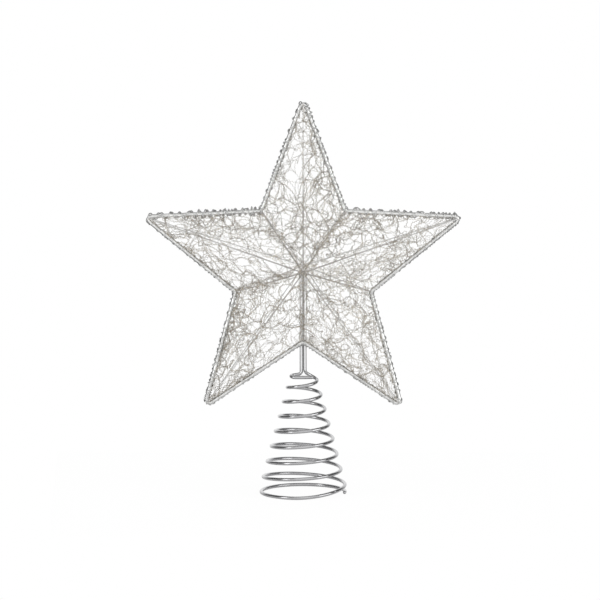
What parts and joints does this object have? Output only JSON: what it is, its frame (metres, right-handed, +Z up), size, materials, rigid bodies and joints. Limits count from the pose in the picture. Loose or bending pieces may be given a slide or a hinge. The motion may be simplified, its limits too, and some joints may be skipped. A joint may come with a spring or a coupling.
{
  "type": "christmas tree topper star",
  "caption": "Puffed star of bent silver wire, its faces covered in a fine crinkled wire web, on a conical coil spring foot that slips over the tip of a tree.",
  "frame": {"origin": "on the coil's axis, in the plane of the flat underside of its foot ring", "axes": "+Z up along the coil to the star's top point, the star's front faces -Y, +X to the right as seen from the front"},
  "size_m": [0.2, 0.0554, 0.2523],
  "materials": {
    "coil_chrome": "polished",
    "frame_silver": "silver plated, satin",
    "web_silver": "bright silver"
  },
  "bodies": {
    "foot": {"coil_foot_ring": "coil_chrome"},
    "coil": {"coil_spring": "coil_chrome"},
    "star": {"back_ridge_left": "frame_silver", "back_ridge_lower_left": "frame_silver", "back_ridge_lower_right": "frame_silver", "back_ridge_right": "frame_silver", "back_ridge_top": "frame_silver", "back_valley_left": "frame_silver", "back_valley_right": "frame_silver", "back_valley_upper_left": "frame_silver", "back_valley_upper_right": "frame_silver", "back_web_left": "web_silver", "back_web_lower_left": "web_silver", "back_web_lower_right": "web_silver", "back_web_right": "web_silver", "back_web_top": "web_silver", "front_ridge_left": "frame_silver", "front_ridge_lower_left": "frame_silver", "front_ridge_lower_right": "frame_silver", "front_ridge_right": "frame_silver", "front_ridge_top": "frame_silver", "front_valley_bottom": "frame_silver", "front_valley_left": "frame_silver", "front_valley_right": "frame_silver", "front_valley_upper_left": "frame_silver", "front_valley_upper_right": "frame_silver", "front_web_left": "web_silver", "front_web_lower_left": "web_silver", "front_web_lower_right": "web_silver", "front_web_right": "web_silver", "front_web_top": "web_silver", "hairpin_stem": "coil_chrome", "outline_wire": "frame_silver"}
  },
  "joints": [
    {"name": "star_sway", "type": "hinge", "parent": "foot", "child": "coil", "pos_m": [0, 0, 0.034], "axis": [0, 1, 0], "range_deg": [-6, 6], "stiffness_Nm_per_rad": 0.35, "deforming": ["coil_spring"]},
    {"name": "coil_press", "type": "slide", "parent": "coil", "child": "star", "axis": [0, 0, 1], "range_m": [-0.015, 0], "stiffness_N_per_m": 600, "springref_m": 0.002, "deforming": ["coil_spring"]}
  ]
}
